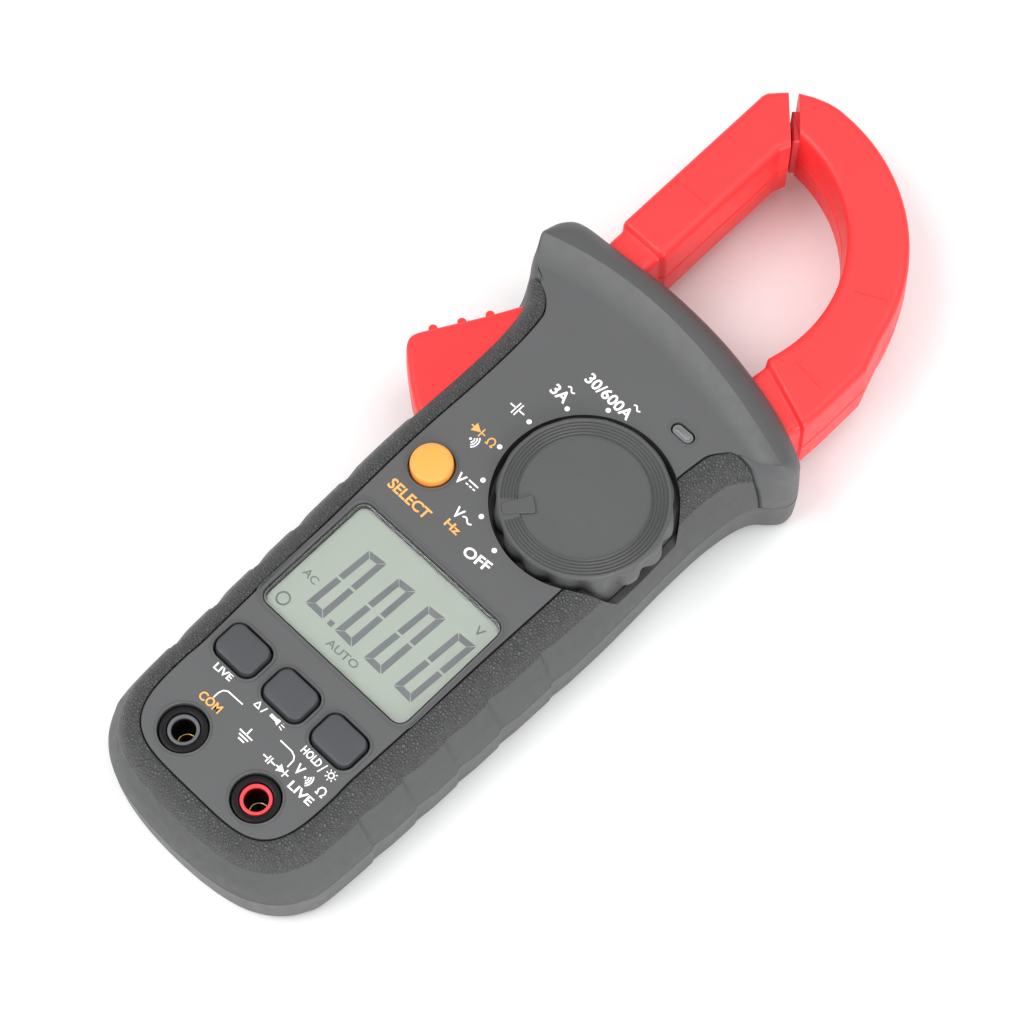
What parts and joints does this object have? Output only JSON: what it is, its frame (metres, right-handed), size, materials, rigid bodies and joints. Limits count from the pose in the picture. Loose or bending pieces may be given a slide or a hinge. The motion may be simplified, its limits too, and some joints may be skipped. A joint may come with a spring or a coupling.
{
  "type": "clamp meter",
  "caption": "Hand-held clamp meter: grey two-part case with grip and hand guard, red hooked jaws opened by a side lever, range dial, display, keys and input jacks.",
  "frame": {"origin": "on the flat back of the rear case, on its centre line just above the battery door", "axes": "+Z out of the front panel, +Y from the input jacks towards the jaws, +X to the right seen from the front"},
  "size_m": [0.0792, 0.2072, 0.0302],
  "materials": {
    "case_plastic": "fine matt moulded texture, dark grey",
    "grip_rubber": "leather-grain moulded grip, dark grey",
    "jaw_plastic": "satin moulded red",
    "dial_plastic": "fine spark texture, dark grey",
    "key_rubber": "smooth silicone, blue-grey",
    "yellow_plastic": "satin yellow-orange",
    "black_plastic": "satin black",
    "ring_grey": "satin grey",
    "ring_red": "satin red",
    "clear_plastic": "clear polished acrylic",
    "lcd_glass": "reflective liquid-crystal cell, pale grey-green",
    "white_plastic": "white moulded",
    "board_green": "green solder mask",
    "zebra_rubber": "banded conductive rubber",
    "brass": "bright",
    "steel": "plated",
    "core_steel": "laminated sheet steel",
    "copper_wire": "enamelled copper winding",
    "battery_label": "plain sleeve"
  },
  "bodies": {
    "case": {"front_case": "case_plastic", "grip_overmould": "grip_rubber", "rear_case": "case_plastic", "fixed_jaw_front": "jaw_plastic", "fixed_jaw_rear": "jaw_plastic", "fixed_core": "core_steel", "fixed_coil": "copper_wire", "pivot_pin": "steel", "jaw_spring": "steel", "main_board": "board_green", "lcd_window": "clear_plastic", "lcd_frame": "white_plastic", "lcd_glass": "lcd_glass", "lcd_backlight": "white_plastic", "contact_strip_lower": "zebra_rubber", "contact_strip_upper": "zebra_rubber", "key_switch_left": "black_plastic", "key_switch_middle": "black_plastic", "key_switch_right": "black_plastic", "select_switch": "black_plastic", "jack_shroud_common": "black_plastic", "jack_ring_common": "ring_grey", "jack_contact_common": "brass", "jack_shroud_signal": "black_plastic", "jack_ring_signal": "ring_red", "jack_contact_signal": "brass", "battery_left": "battery_label", "battery_spring_left": "steel", "battery_right": "battery_label", "battery_spring_right": "steel", "battery_contact_lower": "steel", "battery_contact_upper": "steel", "battery_door": "case_plastic", "battery_door_screw": "steel", "case_screw_lower_left": "steel", "case_screw_lower_right": "steel", "case_screw_upper_left": "steel", "case_screw_upper_right": "steel", "buzzer": "black_plastic", "indicator_lens": "clear_plastic", "indicator_led": "white_plastic", "torch_led": "clear_plastic", "detent_spring": "steel", "detent_ball": "steel"},
    "moving_jaw": {"moving_jaw_front": "jaw_plastic", "moving_jaw_rear": "jaw_plastic", "moving_core": "core_steel", "moving_coil": "copper_wire"},
    "dial": {"dial_knob": "dial_plastic", "dial_rotor": "white_plastic", "dial_wiper": "brass"},
    "select_button": {"select_button": "yellow_plastic"},
    "key_left": {"key_left": "key_rubber"},
    "key_middle": {"key_middle": "key_rubber"},
    "key_right": {"key_right": "key_rubber"}
  },
  "joints": [
    {"name": "jaw_pivot", "type": "hinge", "parent": "case", "child": "moving_jaw", "pos_m": [-0.0205, 0.058, 0.01375], "axis": [0, 0, 1], "range_deg": [0, 23], "stiffness_Nm_per_rad": 0.8, "springref_deg": -28.65, "deforming": ["jaw_spring"]},
    {"name": "dial_turn", "type": "hinge", "parent": "case", "child": "dial", "pos_m": [0.01205, 0.02757, 0.0275], "axis": [0, 0, 1], "range_deg": [-112.5, 22.5]},
    {"name": "select_press", "type": "slide", "parent": "case", "child": "select_button", "axis": [0, 0, -1], "range_m": [0, 0.0012], "stiffness_N_per_m": 500, "springref_m": -0.001},
    {"name": "key_left_press", "type": "slide", "parent": "case", "child": "key_left", "axis": [0, 0, -1], "range_m": [0, 0.0008], "stiffness_N_per_m": 600, "springref_m": -0.0008},
    {"name": "key_middle_press", "type": "slide", "parent": "case", "child": "key_middle", "axis": [0, 0, -1], "range_m": [0, 0.0008], "stiffness_N_per_m": 600, "springref_m": -0.0008},
    {"name": "key_right_press", "type": "slide", "parent": "case", "child": "key_right", "axis": [0, 0, -1], "range_m": [0, 0.0008], "stiffness_N_per_m": 600, "springref_m": -0.0008}
  ]
}
